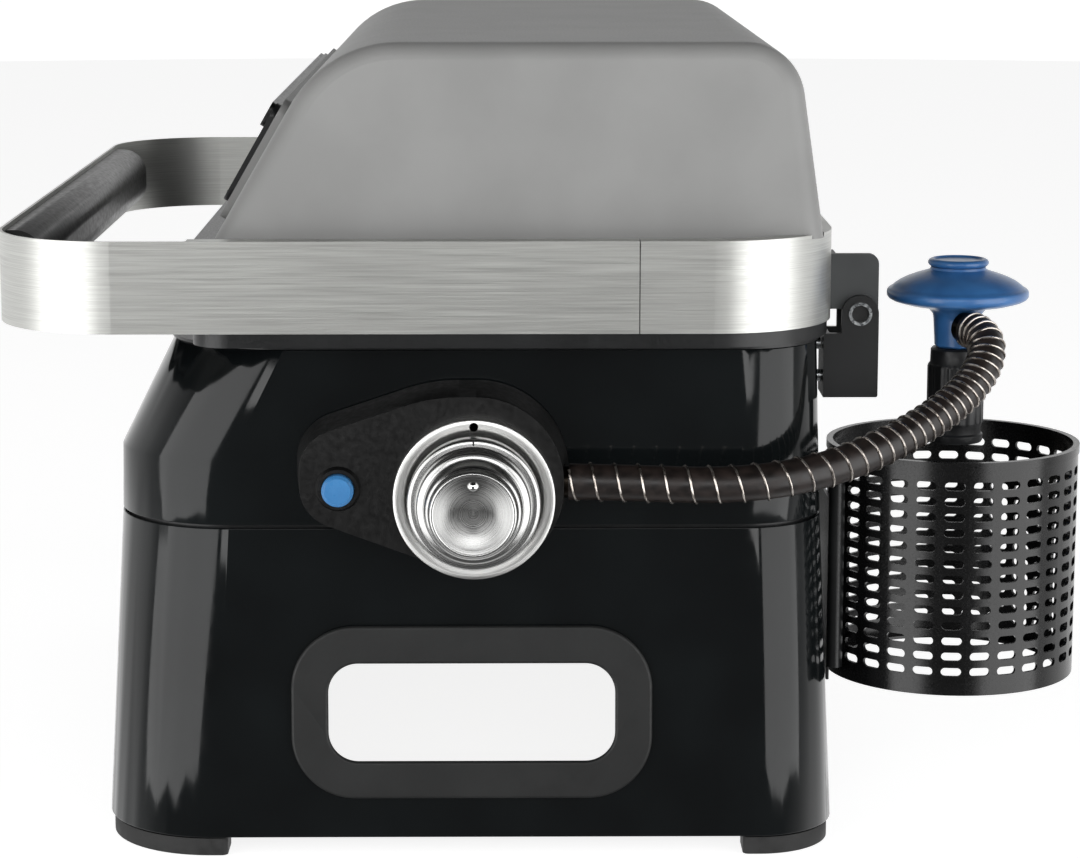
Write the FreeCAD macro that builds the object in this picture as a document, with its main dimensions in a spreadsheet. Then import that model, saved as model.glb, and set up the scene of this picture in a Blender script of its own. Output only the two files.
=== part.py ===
import FreeCAD, Part
import math
import os

import Sketcher

# Tabletop gas grill, millimetres. +X is the control side, +Y the back, +Z up, and Z 0 is the table.
# The driving dimensions live in a spreadsheet. Sizes are read from it as Size values, which carry
# both the number and the sheet expression, so that each feature is bound to the sheet's cells.

DIMENSIONS = {
    # footprint centre, taken out of every sub-part at the end
    "centre_x": 29.3, "centre_y": 18.3,
    # housings: a two-part steel skirt, flared a little towards the table
    "wall": 1.5, "skirt_bottom": 9.5, "skirt_top": 162.0, "upper_bottom": 163.6, "upper_bend": 195.0,
    "upper_top": 248.4, "skirt_half": 267.0, "seam_half": 260.0, "rim_half": 257.5,
    "skirt_front": 202.6, "seam_front": 193.8, "bend_front": 193.2, "rim_front": 166.5,
    "skirt_rear": 158.0, "seam_rear": 151.0, "rim_rear": 148.4,
    "front_radius": 57.0, "rear_radius": 40.0, "floor_flange": 26.0,
    # carry-hand openings
    "hand_y": -20.2, "hand_z": 72.1, "hand_width": 140.7, "hand_height": 50.2, "hand_radius": 15.5,
    "ring_width": 174.7, "ring_height": 85.3, "ring_radius": 31.0, "ring_thick": 3.5, "hand_tilt": 2.6,
    # fire bowl, burner and grates
    "bowl_top": 250.2, "bowl_floor": 186.0, "bowl_half": 236.0, "bowl_front": 140.0, "bowl_rear": 124.0,
    "bowl_radius": 40.0, "sheet": 1.2, "burner_radius": 11.0, "burner_half": 170.0, "burner_y": 70.0,
    "burner_z": 203.0, "grate_z": 236.0, "grate_bar": 7.0, "grate_height": 9.0, "grate_half": 116.5,
    "grate_front": 132.0, "grate_rear": 116.0, "grate_pitch": 17.5,
    "tray_x": -35.0, "tray_half": 125.0, "tray_front": 130.0, "tray_rear": 150.5, "tray_bottom": 128.0, "tray_top": 146.0,
    # lid frame and the steel band round it
    "band_half": 278.4, "band_front": 248.5, "band_rear": 154.7, "band_radius": 60.0, "band_bottom": 259.1,
    "band_top": 302.8, "band_thick": 1.5, "band_seam": 59.5, "band_lip": 10.2,
    "frame_front": 152.0, "frame_bottom": 252.2, "frame_top": 300.2, "frame_skirt": 2.0, "frame_corner": 18.0,
    "grip_half": 214.0, "grip_depth": 18.5, "grip_height": 34.0,
    # lid
    "lid_bottom": 300.8, "lid_top": 392.5, "lid_half": 255.0, "lid_top_half": 235.0, "lid_front": 142.0,
    "lid_rear": 148.4, "lid_rear_top": 136.6, "front_slope": 30.0, "lid_front_arc": 59.0, "lid_rear_arc": 28.0,
    "lid_edge": 10.0, "lid_wall": 2.0,
    # oven door, measured along the lid's sloping front
    "door_half": 205.0, "door_low": 9.5, "door_high": 66.0, "door_frame_half": 214.0, "door_frame_low": 4.5,
    "door_frame_high": 70.5, "door_frame_thick": 4.0, "door_thick": 2.4, "glass_half": 186.0,
    "glass_low": 18.0, "glass_high": 49.0, "door_pin": 1.1, "door_barrel": 2.2,
    # lid hinges
    "hinge_y": 169.4, "hinge_z": 260.2, "hinge_x": 209.0, "hinge_cheek": 3.5, "hinge_back": 178.5,
    "hinge_low": 219.0, "pin_radius": 5.7, "pin_bore": 4.2, "ear_radius": 9.0,
    # control console, knob and igniter
    "console_wall": 260.3, "console_face": 293.0, "knob_y": -18.3, "knob_z": 184.4, "console_radius": 42.0,
    "console_tip_y": -100.3, "console_tip_top": 210.8, "console_tip_low": 175.0, "console_z": 189.5,
    "bezel_radius": 38.0, "bezel_face": 302.0, "skirt_radius": 31.0, "cap_radius": 24.0, "dish_radius": 18.3,
    "knob_face": 336.7, "button_y": -82.1, "button_z": 188.1, "button_radius": 7.5, "push": 3.0,
    # regulator, hose and cylinder basket
    "gas_x": 178.0, "gas_y": 223.0, "hose_radius": 9.5, "bottle_thread": 12.7,
    "basket_radius": 62.9, "basket_bottom": 72.9, "basket_top": 189.7, "basket_wall": 1.6,
    "slot_length": 10.0, "slot_height": 4.2, "slot_pitch": 7.75,
}
SLOT_ROWS = 13
SLOT_COLUMNS = 28
GRATE_BARS = 13

doc = FreeCAD.newDocument("tabletop_grill")
sheet = doc.addObject("Spreadsheet::Sheet", "Dimensions")
for row, (alias, number) in enumerate(DIMENSIONS.items(), 1):
    sheet.set("A%d" % row, alias)
    sheet.set("B%d" % row, str(number))
    sheet.setAlias("B%d" % row, alias)
doc.recompute()


class Size:
    """A number together with the sheet expression that gives it."""

    def __init__(self, value, text):
        self.value = value
        self.text = text

    def __add__(self, other):
        other = size(other)
        return Size(self.value + other.value, "(%s + %s)" % (self.text, other.text))

    def __sub__(self, other):
        other = size(other)
        return Size(self.value - other.value, "(%s - %s)" % (self.text, other.text))

    def __mul__(self, other):
        other = size(other)
        return Size(self.value * other.value, "(%s * %s)" % (self.text, other.text))

    def __neg__(self):
        return Size(-self.value, "(-1 * %s)" % self.text)

    def __float__(self):
        return self.value


def size(number):
    """Any plain number as a Size."""
    if isinstance(number, Size):
        return number
    return Size(float(number), "(%.6f)" % number)


def cell(alias):
    """The Size held by one cell of the sheet."""
    return Size(float(getattr(sheet, alias)), "Dimensions." + alias)


def bind(thing, prop, number):
    """Set a property from the sheet."""
    thing.setExpression(prop, size(number).text)


PARTS = []
AXES = {"x": FreeCAD.Rotation(FreeCAD.Vector(0, 1, 0), 90),
        "y": FreeCAD.Rotation(FreeCAD.Vector(1, 0, 0), -90),
        "z": FreeCAD.Rotation()}


def vector(x, y, z):
    return FreeCAD.Vector(float(x), float(y), float(z))


def place(thing, at, rotation=None):
    """Put an object at a point, turned by a rotation."""
    thing.Placement = FreeCAD.Placement(vector(*at), rotation or FreeCAD.Rotation())
    return thing


def sub_part(thing, label):
    """Name an object as one of the grill's pieces."""
    thing.Label = label
    PARTS.append(thing)
    return thing


def cylinder(radius, length, at, axis="z"):
    rod = doc.addObject("Part::Cylinder", "Rod")
    bind(rod, "Radius", radius)
    bind(rod, "Height", length)
    return place(rod, at, AXES[axis])


def cone(radius_low, radius_high, length, at, axis="z"):
    taper = doc.addObject("Part::Cone", "Taper")
    bind(taper, "Radius1", radius_low)
    bind(taper, "Radius2", radius_high)
    bind(taper, "Height", length)
    return place(taper, at, AXES[axis])


def box(low, high):
    """A block between two corners."""
    block = doc.addObject("Part::Box", "Block")
    for prop, start, end in zip(("Length", "Width", "Height"), low, high):
        bind(block, prop, size(end) - size(start))
    return place(block, low)


def fuse(*things):
    joined = doc.addObject("Part::MultiFuse", "Joined")
    joined.Shapes = list(things)
    return joined


def cut(base, *tools):
    tool = tools[0] if len(tools) == 1 else fuse(*tools)
    rest = doc.addObject("Part::Cut", "Rest")
    rest.Base = base
    rest.Tool = tool
    return rest


def group(things):
    """Separate solids kept together as one piece's node."""
    several = doc.addObject("Part::Compound", "Group")
    several.Links = list(things)
    return several


def tube(radius, bore, length, at, axis="z"):
    """A round tube whose bore runs a little past both ends."""
    start = list(at)
    index = "xyz".index(axis)
    start[index] = float(start[index]) - 1.0
    return cut(cylinder(radius, length, at, axis), cylinder(bore, size(length) + 2.0, start, axis))


def outline(sketch, corners):
    """Draw a closed outline through corner points (x, y, radius) and bind every one to the sheet."""
    points = [vector(x, y, 0) for x, y, _ in corners]
    radii = [float(radius) for _, _, radius in corners]
    count = len(corners)
    ends = []
    for i in range(count):
        before = (points[i - 1] - points[i]).normalize()
        after = (points[(i + 1) % count] - points[i]).normalize()
        half_angle = before.getAngle(after) / 2
        reach = radii[i] / math.tan(half_angle) if radii[i] else 0.0
        centre_way = (before + after).normalize() * (radii[i] / math.sin(half_angle)) if radii[i] else None
        ends.append((points[i] + before * reach, points[i] + after * reach, centre_way))
    lines = []
    for i in range(count):
        line = Part.LineSegment(ends[i][1], ends[(i + 1) % count][0])
        lines.append(sketch.addGeometry(line, False))

    def hold(kind, numbers, number):
        index = sketch.addConstraint(Sketcher.Constraint(kind, *numbers, float(number)))
        sketch.setExpression("Constraints[%d]" % index, size(number).text)

    for i in range(count):
        last, following = lines[i - 1], lines[i]
        x, y, radius = corners[i]
        if not radii[i]:
            sketch.addConstraint(Sketcher.Constraint("Coincident", last, 2, following, 1))
            hold("DistanceX", (-1, 1, following, 1), x)
            hold("DistanceY", (-1, 1, following, 1), y)
            continue
        centre = points[i] + ends[i][2]
        middle = centre - FreeCAD.Vector(ends[i][2]).normalize() * radii[i]
        arc = sketch.addGeometry(Part.Arc(ends[i][0], middle, ends[i][1]), False)
        turns_left = (ends[i][0] - centre).cross(ends[i][1] - centre).z > 0
        near, far = (1, 2) if turns_left else (2, 1)
        sketch.addConstraint(Sketcher.Constraint("Tangent", last, 2, arc, near))
        sketch.addConstraint(Sketcher.Constraint("Tangent", arc, far, following, 1))
        hold("Radius", (arc,), radius)
        corner = sketch.addGeometry(Part.Point(points[i]), True)
        sketch.addConstraint(Sketcher.Constraint("PointOnObject", corner, 1, last))
        sketch.addConstraint(Sketcher.Constraint("PointOnObject", corner, 1, following))
        hold("DistanceX", (-1, 1, corner, 1), x)
        hold("DistanceY", (-1, 1, corner, 1), y)


def ring_of(sketch, x, y, radius):
    """A circle bound to the sheet."""
    index = sketch.addGeometry(Part.Circle(vector(x, y, 0), FreeCAD.Vector(0, 0, 1), float(radius)), False)
    for kind, numbers, number in (("DistanceX", (-1, 1, index, 3), x), ("DistanceY", (-1, 1, index, 3), y),
                                  ("Radius", (index,), radius)):
        held = sketch.addConstraint(Sketcher.Constraint(kind, *numbers, float(number)))
        sketch.setExpression("Constraints[%d]" % held, size(number).text)


def new_body():
    return doc.addObject("PartDesign::Body", "Body")


def new_sketch(body, plane, offset, outlines=(), circles=()):
    """A sketch on one of the body's own planes, moved along the plane's normal."""
    sketch = body.newObject("Sketcher::SketchObject", "Sketch")
    origin_plane = [f for f in body.Origin.OriginFeatures if f.Role == plane][0]
    sketch.AttachmentSupport = [(origin_plane, "")]
    sketch.MapMode = "FlatFace"
    sketch.AttachmentOffset = FreeCAD.Placement(vector(0, 0, offset), FreeCAD.Rotation())
    bind(sketch, "AttachmentOffset.Base.z", offset)
    for corners in outlines:
        outline(sketch, corners)
    for circle in circles:
        ring_of(sketch, *circle)
    return sketch


def pad(body, plane, offset, length, outlines=(), circles=(), midplane=False):
    """Add material: outlines and circles pushed along the plane's normal."""
    feature = body.newObject("PartDesign::Pad", "Pad")
    feature.Profile = new_sketch(body, plane, offset, outlines, circles)
    bind(feature, "Length", length)
    feature.Midplane = midplane
    body.Tip = feature
    return feature


def pocket(body, plane, offset, depth, outlines=(), circles=()):
    """Take material away on both sides of a plane, checked by volume."""
    doc.recompute()
    before = body.Shape.Volume
    feature = body.newObject("PartDesign::Pocket", "Pocket")
    feature.Profile = new_sketch(body, plane, offset, outlines, circles)
    bind(feature, "Length", depth)
    feature.Midplane = True
    body.Tip = feature
    doc.recompute()
    if body.Shape.Volume >= before - 1.0:
        raise RuntimeError("a pocket cut nothing")
    return feature


def plate(plane, offset, length, outlines=(), circles=(), midplane=False):
    """A body made of a single pad."""
    body = new_body()
    pad(body, plane, offset, length, outlines, circles, midplane)
    return body


def rectangle(left, right, low, high, radius=0, top_radius=None):
    """Four corners with one radius at the low side and, if given, another at the high side."""
    top_radius = radius if top_radius is None else top_radius
    return [(left, low, radius), (right, low, radius), (right, high, top_radius), (left, high, top_radius)]


def plan(half, front, rear, front_radius, rear_radius, inset=0):
    """The grill's outline seen from above, drawn inwards by an inset."""
    return rectangle(-(size(half) - inset), size(half) - inset, -(size(front) - inset), size(rear) - inset,
                     size(front_radius) - inset, size(rear_radius) - inset)


def loft(body, kind, levels, inset=0):
    """A ruled loft through plan outlines at several heights."""
    sections = []
    for height, half, front, rear, front_radius, rear_radius in levels:
        sections.append(new_sketch(body, "XY_Plane", height,
                                   [plan(half, front, rear, front_radius, rear_radius, inset)]))
    feature = body.newObject(kind, "Loft")
    feature.Profile = sections[0]
    feature.Sections = sections[1:]
    feature.Ruled = True
    body.Tip = feature
    return feature


def lofted_shell(levels, inner_levels, wall):
    """A thin skirt: one loft less another inside it."""
    body = new_body()
    loft(body, "PartDesign::AdditiveLoft", levels)
    doc.recompute()
    loft(body, "PartDesign::SubtractiveLoft", inner_levels, wall)
    return body


c = {alias: cell(alias) for alias in DIMENSIONS}
front_radius, rear_radius = c["front_radius"], c["rear_radius"]


# ---- housings -------------------------------------------------------------------------------------------
def make_housings():
    bottom = (c["skirt_bottom"], c["skirt_half"], c["skirt_front"], c["skirt_rear"], front_radius, rear_radius)
    seam = (c["skirt_top"], c["seam_half"], c["seam_front"], c["seam_rear"], front_radius, rear_radius)
    over_seam = (c["skirt_top"] + 1.0,) + seam[1:]
    under_bottom = (c["skirt_bottom"] - 1.0,) + bottom[1:]
    lower = lofted_shell([bottom, seam], [under_bottom, over_seam], c["wall"])
    # the skirt's foot is turned inwards so that the feet can be screwed on
    doc.recompute()
    pad(lower, "XY_Plane", c["skirt_bottom"], c["wall"],
        [plan(c["skirt_half"], c["skirt_front"], c["skirt_rear"], front_radius, rear_radius, 0.5),
         plan(c["skirt_half"], c["skirt_front"], c["skirt_rear"], front_radius, rear_radius,
              c["floor_flange"])])
    hand = rectangle(c["hand_y"] - c["hand_width"] * 0.5, c["hand_y"] + c["hand_width"] * 0.5,
                     c["hand_z"] - c["hand_height"] * 0.5, c["hand_z"] + c["hand_height"] * 0.5,
                     c["hand_radius"])
    pocket(lower, "YZ_Plane", 0, c["skirt_half"] * 3, [hand])
    # rear mouth of the grease tray
    mouth = rectangle(c["tray_x"] - c["tray_half"] - 1.5, c["tray_x"] + c["tray_half"] + 1.5,
                      c["tray_bottom"] - 1.5, c["tray_top"] + 1.5, 2)
    pocket(lower, "XZ_Plane", -c["tray_rear"], 30, [mouth])
    sub_part(lower, "lower_housing")

    upper_seam = (c["upper_bottom"], c["seam_half"], c["seam_front"], c["seam_rear"], front_radius, rear_radius)
    bend = (c["upper_bend"], c["seam_half"] - 1.0, c["bend_front"], c["seam_rear"] - 1.0, front_radius,
            rear_radius)
    rim = (c["upper_top"], c["rim_half"], c["rim_front"], c["rim_rear"], front_radius, rear_radius)
    below = (c["upper_bottom"] - 1.0,) + upper_seam[1:]
    above = (c["upper_top"] + 1.0,) + rim[1:]
    upper = lofted_shell([upper_seam, bend, rim], [below, bend, above], c["wall"])
    # the gas valve passes through the right wall behind the console
    pocket(upper, "YZ_Plane", c["seam_half"], 20, circles=[(c["knob_y"], c["knob_z"], 15)])
    sub_part(upper, "upper_housing")

    # a channel-shaped frame inside the seam, seen as the dark line between the two housings
    frame = plate("XY_Plane", c["skirt_top"] - 14, 28,
                  [plan(c["seam_half"], c["seam_front"], c["seam_rear"], front_radius, rear_radius,
                        c["wall"] + 1.2),
                   plan(c["seam_half"], c["seam_front"], c["seam_rear"], front_radius, rear_radius,
                        c["wall"] + 3.2)])
    pocket(frame, "YZ_Plane", c["seam_half"], 20, circles=[(c["knob_y"], c["knob_z"], 15)])
    sub_part(frame, "middle_frame")


def make_feet():
    """A quarter-round block under each corner, held by a screw from the skirt's turned-in foot."""
    screws = []
    top = c["skirt_bottom"] - 1.0
    for side, sign in (("right", 1), ("left", -1)):
        for end, edge, radius in (("front", -c["skirt_front"], front_radius), ("rear", c["skirt_rear"],
                                                                               rear_radius)):
            way = 1 if end == "front" else -1
            outer = c["skirt_half"] * sign
            reach = size(radius) + 6
            x_out, x_in = outer - sign * 2.0, outer - reach * sign
            y_out, y_in = edge + way * 2.0, edge + reach * way
            band = 22.0
            corners = [(x_out, y_in, 3), (x_out, y_out, radius - 4), (x_in, y_out, 3),
                       (x_in, y_out + way * band, 3), (x_out - sign * band, y_out + way * band, 14),
                       (x_out - sign * band, y_in, 3)]
            if sign * way < 0:
                corners.reverse()
            foot = plate("XY_Plane", 0, top, [corners])
            sub_part(foot, "foot_%s_%s" % (end, side))
            middle = (float(outer) - sign * (float(radius) * 0.3 + 10), float(edge) + way *
                      (float(radius) * 0.3 + 10))
            screws.append(cylinder(4.5, 1.0, (middle[0], middle[1], float(top)), "z"))
            screws.append(cylinder(5.0, 2.5, (middle[0], middle[1], float(c["skirt_bottom"] + c["wall"])),
                                   "z"))
    sub_part(group(screws), "foot_screws")


def make_hand_bezels():
    """A moulded ring lining each carry-hand opening, leaning with the skirt's wall."""
    half_w, half_h = c["ring_width"] * 0.5, c["ring_height"] * 0.5
    hole_w, hole_h = c["hand_width"] * 0.5 - 1.0, c["hand_height"] * 0.5 - 1.0
    for side, sign in (("right", 1), ("left", -1)):
        ring = plate("YZ_Plane", 0, c["ring_thick"],
                     [rectangle(-half_w, half_w, -half_h, half_h, c["ring_radius"]),
                      rectangle(-hole_w, hole_w, -hole_h, hole_h, c["hand_radius"] - 1)])
        if sign < 0:
            ring.Placement = FreeCAD.Placement(FreeCAD.Vector(), FreeCAD.Rotation(FreeCAD.Vector(0, 0, 1), 180))
        drop = (float(c["hand_z"]) - 9.5) / (float(c["skirt_top"]) - 9.5)
        wall_x = float(c["skirt_half"]) + drop * (float(c["seam_half"]) - float(c["skirt_half"])) + 0.05
        lean = FreeCAD.Rotation(FreeCAD.Vector(0, 1, 0), -sign * float(c["hand_tilt"]))
        seat = FreeCAD.Placement(vector(sign * wall_x, c["hand_y"], c["hand_z"]), lean)
        ring.Placement = seat.multiply(ring.Placement)
        sub_part(ring, "hand_bezel_" + side)


# ---- fire bowl, burner, grates, tray ---------------------------------------------------------------------
def make_firebox():
    top_plan = (c["bowl_top"] - 1.5, c["bowl_half"] + 14, c["bowl_front"] + 16, c["bowl_rear"] + 15,
                c["bowl_radius"], c["bowl_radius"] * 0.8)
    low_plan = (c["bowl_floor"], c["bowl_half"], c["bowl_front"], c["bowl_rear"], c["bowl_radius"],
                c["bowl_radius"] * 0.8)
    inner_low = (c["bowl_floor"] + c["sheet"],) + low_plan[1:]
    inner_top = (c["bowl_top"] + 1.0,) + top_plan[1:]
    bowl = lofted_shell([low_plan, top_plan], [inner_low, inner_top], c["sheet"])
    doc.recompute()
    pad(bowl, "XY_Plane", c["bowl_top"] - 1.5, 1.5,
        [plan(c["rim_half"] + 1.2, c["rim_front"] + 1.2, c["rim_rear"] + 1.2, front_radius + 1.2,
              rear_radius + 1.2),
         plan(top_plan[1], top_plan[2], top_plan[3], top_plan[4], top_plan[5], c["sheet"])])
    pocket(bowl, "XY_Plane", c["bowl_floor"], 8, circles=[(0, 0, 14)])
    pocket(bowl, "YZ_Plane", c["bowl_half"] + 5, 30, circles=[(-c["burner_y"], c["burner_z"], 13)])
    sub_part(bowl, "fire_bowl")

    half, y, z, r = c["burner_half"], c["burner_y"], c["burner_z"], c["burner_radius"]
    burner = fuse(cylinder(r, half * 2, (-half, -y, z), "x"), cylinder(r, half * 2, (-half, y, z), "x"),
                  cylinder(r - 2, y * 2, (0, -y, z), "y"), cylinder(7, 65, (half - 1, -y, z), "x"))
    sub_part(burner, "burner_tube")
    brackets = []
    for x in (-1, 1):
        for side in (-1, 1):
            low = (half * x - 4, y * side - 10, c["bowl_floor"] + c["sheet"])
            high = (half * x + 4, y * side + 10, z - r - 0.05)
            brackets.append(box(low, high))
    sub_part(group(brackets), "burner_brackets")
    tent = []
    for side in (-1, 1):
        ridge = plate("YZ_Plane", -(half + 20), half * 2 + 40,
                      [[(y * side - 32, z + 15, 0), (y * side - 31, z + 14, 0), (y * side, z + 26, 4),
                        (y * side + 31, z + 14, 0), (y * side + 32, z + 15, 0), (y * side, z + 27.6, 5)]])
        tent.append(ridge)
    sub_part(group(tent), "heat_plates")

    for side, sign in (("right", 1), ("left", -1)):
        middle = (c["grate_half"] + 1.0) * sign
        grate = plate("XY_Plane", c["grate_z"], c["grate_height"],
                      [rectangle(middle - c["grate_half"], middle + c["grate_half"], -c["grate_front"],
                                 c["grate_rear"], 12),
                       rectangle(middle - c["grate_half"] + c["grate_bar"],
                                 middle + c["grate_half"] - c["grate_bar"],
                                 -c["grate_front"] + c["grate_bar"], c["grate_rear"] - c["grate_bar"], 5)])
        first = middle - c["grate_pitch"] * ((GRATE_BARS - 3) / 2)
        bar = pad(grate, "XY_Plane", c["grate_z"], c["grate_height"] - 1,
                  [rectangle(first - 2.5, first + 2.5, -c["grate_front"] + 4, c["grate_rear"] - 4)])
        row = grate.newObject("PartDesign::LinearPattern", "Bars")
        row.Originals = [bar]
        row.Direction = (bar.Profile[0], ["H_Axis"])
        row.Occurrences = GRATE_BARS - 2
        bind(row, "Length", c["grate_pitch"] * (GRATE_BARS - 3))
        grate.Tip = row
        sub_part(grate, "grate_" + side)

    tray = new_body()
    left, right = c["tray_x"] - c["tray_half"], c["tray_x"] + c["tray_half"]
    pad(tray, "XY_Plane", c["tray_bottom"], c["tray_top"] - c["tray_bottom"],
        [rectangle(left, right, -c["tray_front"], c["tray_rear"] + 3.0, 3)])
    doc.recompute()
    hollow = pocket(tray, "XY_Plane", c["tray_top"], (c["tray_top"] - c["tray_bottom"] - c["sheet"]) * 2,
                    [rectangle(left + c["sheet"], right - c["sheet"], -c["tray_front"] + c["sheet"],
                               c["tray_rear"], 2)])
    hollow.Refine = True
    # the tray's outer plate closes the mouth in the skirt's rear wall
    plate_thick, plate_y = 3.0, c["tray_rear"] + 5.7
    pad(tray, "XZ_Plane", -plate_y, plate_thick,
        [rectangle(left - 6, right + 6, c["tray_bottom"] - 5, c["tray_top"] + 5, 3)])
    sub_part(tray, "grease_tray")
    pull_y, pull_z = c["tray_rear"] + 18, c["tray_bottom"] + 9
    pull = tube(6, 4, 90, (c["tray_x"] - 45, pull_y, pull_z), "x")
    legs = [box((c["tray_x"] + x, plate_y + 0.05, pull_z - 4), (c["tray_x"] + x + 6, pull_y - 4, pull_z + 4))
            for x in (-42, 36)]
    sub_part(fuse(pull, *legs), "tray_pull")
    rails = []
    for sign in (-1, 1):
        inner = c["tray_x"] + (c["tray_half"] + 0.4) * sign
        outer = inner + 1.5 * sign
        corners = [(inner, c["tray_bottom"] - 2.0, 0), (outer, c["tray_bottom"] - 2.0, 0),
                   (outer, c["tray_top"] + 13, 0), (inner, c["tray_top"] + 13, 0)]
        side_wall = plate("XZ_Plane", -(c["tray_rear"] - 8), c["tray_rear"] + c["tray_front"] - 16,
                          [corners if sign > 0 else corners[::-1]])
        shelf = box((inner - 12 if sign > 0 else inner, -c["tray_front"] + 8, c["tray_bottom"] - 2.0),
                    (inner if sign > 0 else inner + 12, c["tray_rear"] - 8, c["tray_bottom"] - 0.5))
        arm = box((outer if sign > 0 else -c["seam_half"] + 8, -30, c["tray_top"] + 7),
                  (c["seam_half"] - 8 if sign > 0 else outer, 10, c["tray_top"] + 8.5))
        rails.append(fuse(side_wall, shelf, arm))
    sub_part(group(rails), "tray_rails")


# ---- lid frame and band ----------------------------------------------------------------------------------
def band_plan(inset):
    return plan(c["band_half"], c["band_front"], c["band_rear"], c["band_radius"], c["band_radius"], inset)


def make_band():
    height = c["band_top"] - c["band_bottom"]
    wide = c["band_half"] + 10
    for label, start, end in (("band_front", -c["band_front"] - 10, c["band_seam"] - 0.25),
                              ("band_rear", c["band_seam"] + 0.25, c["band_rear"] + 10)):
        strip = plate("XY_Plane", c["band_bottom"], height, [band_plan(0), band_plan(c["band_thick"])])
        doc.recompute()
        # the top edge is folded inwards beside the lid, and only there
        lip = pad(strip, "XY_Plane", c["band_top"] - c["band_thick"], c["band_thick"],
                  [band_plan(0.5), band_plan(c["band_lip"])])
        lip.Refine = True
        if label == "band_front":
            inner = c["band_half"] - c["band_thick"]
            pocket(strip, "XY_Plane", c["band_top"] - c["band_thick"] * 0.5, c["band_thick"] * 1.02,
                   [plan(inner, c["band_front"] - c["band_thick"], -(c["frame_front"] + 1.0),
                         c["band_radius"] - c["band_thick"], 2)])
            away = rectangle(-wide, wide, end, c["band_rear"] + 10)
        else:
            # the lip stops short of the lid's rear wall
            lid_gap = 0.3
            pocket(strip, "XY_Plane", c["band_top"] - c["band_thick"] * 0.5, c["band_thick"] * 1.6,
                   [rectangle(-c["lid_half"] - lid_gap, c["lid_half"] + lid_gap, 0, c["lid_rear"] + lid_gap)])
            away = rectangle(-wide, wide, -c["band_front"] - 10, start)
        pocket(strip, "XY_Plane", c["band_bottom"] + height * 0.5, height * 2, [away])
        sub_part(strip, label)
    rivets = []
    rivet_head, rivet_z = 0.9, 281
    inside = float(c["band_half"] - c["band_thick"] - c["frame_skirt"]) - 0.1
    for sign in (-1, 1):
        for y in (-120, -30, 85):
            rivets.append(cylinder(4, rivet_head, (inside - rivet_head if sign > 0 else -inside, y, rivet_z),
                                   "x"))
    sub_part(group(rivets), "band_rivets")

    inner_y = -(c["band_front"] - c["band_thick"] - 0.05)
    grip = plate("YZ_Plane", 0, c["grip_half"] * 2,
                 [[(inner_y, c["band_top"] - c["grip_height"] - 2, 0),
                   (inner_y + c["grip_depth"], c["band_top"] - c["grip_height"] - 2, 12),
                   (inner_y + c["grip_depth"], c["band_top"] - 2, 14), (inner_y, c["band_top"] - 2, 0)]],
                 midplane=True)
    sub_part(grip, "handle_grip")


def make_lid_frame():
    outer = c["band_half"] - c["band_thick"] - 0.05
    rear = c["band_rear"] - c["band_thick"] - 0.05
    corner, round_rear = c["frame_corner"], c["band_radius"] - c["band_thick"] - 0.05

    def ring(inset):
        return plan(outer, c["frame_front"], rear, corner, round_rear, inset)

    frame = plate("XY_Plane", c["frame_bottom"], c["frame_top"] - c["frame_bottom"],
                  [ring(0), ring(c["frame_skirt"])])
    doc.recompute()
    window = rectangle(-(c["lid_half"] - 13), c["lid_half"] - 13, -(c["lid_front"] - 13),
                       c["lid_rear"] - 14, 24)
    web = pad(frame, "XY_Plane", c["frame_top"] - c["frame_skirt"], c["frame_skirt"], [ring(0.5), window])
    web.Refine = True
    sub_part(frame, "lid_frame")


# ---- lid -------------------------------------------------------------------------------------------------
def lid_solid(inset, drop):
    """The lid's outer form, or its hollow when drawn in by an inset."""
    slope = math.tan(math.radians(float(c["front_slope"])))
    low = c["lid_bottom"] - drop
    high = c["lid_top"] - inset
    along = inset / math.cos(math.radians(float(c["front_slope"])))
    front_low = -c["lid_front"] + along - size(drop) * slope
    front_high = -c["lid_front"] + along + (high - c["lid_bottom"]) * slope
    profile = [(front_low, low, 0), (c["lid_rear"] - inset, low, 0),
               (c["lid_rear_top"] - inset, high, c["lid_rear_arc"] - inset),
               (front_high, high, c["lid_front_arc"] - inset)]
    body = plate("YZ_Plane", 0, c["lid_half"] * 2, [profile], midplane=True)
    taper = doc.addObject("Part::Wedge", "Taper")
    deep = 400
    half_low, half_high = c["lid_half"] - inset, c["lid_top_half"] - inset
    for prop, number in (("Xmin", -half_low), ("Xmax", half_low), ("X2min", -half_high), ("X2max", half_high),
                         ("Ymin", 0), ("Ymax", c["lid_top"] - c["lid_bottom"]), ("Zmin", -deep),
                         ("Zmax", deep), ("Z2min", -deep), ("Z2max", deep)):
        bind(taper, prop, number)
    place(taper, (0, 0, c["lid_bottom"] - drop), FreeCAD.Rotation(FreeCAD.Vector(1, 0, 0), 90))
    common = doc.addObject("Part::Common", "Tapered")
    common.Base = body
    common.Tool = taper
    doc.recompute()
    rounded = doc.addObject("Part::Fillet", "Rounded")
    rounded.Base = common
    radius = float(c["lid_edge"]) - inset
    rounded.Edges = [(i, radius, radius) for i, edge in enumerate(common.Shape.Edges, 1)
                     if is_side_edge(edge, common.Shape)]
    return rounded


def is_side_edge(edge, shape):
    """True for an edge between a side wall and the lid's front, top or rear."""
    box_ = edge.BoundBox
    on_bottom = box_.ZMax < shape.BoundBox.ZMin + 0.5
    across = box_.XMax - box_.XMin > 100
    return not on_bottom and not across


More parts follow.
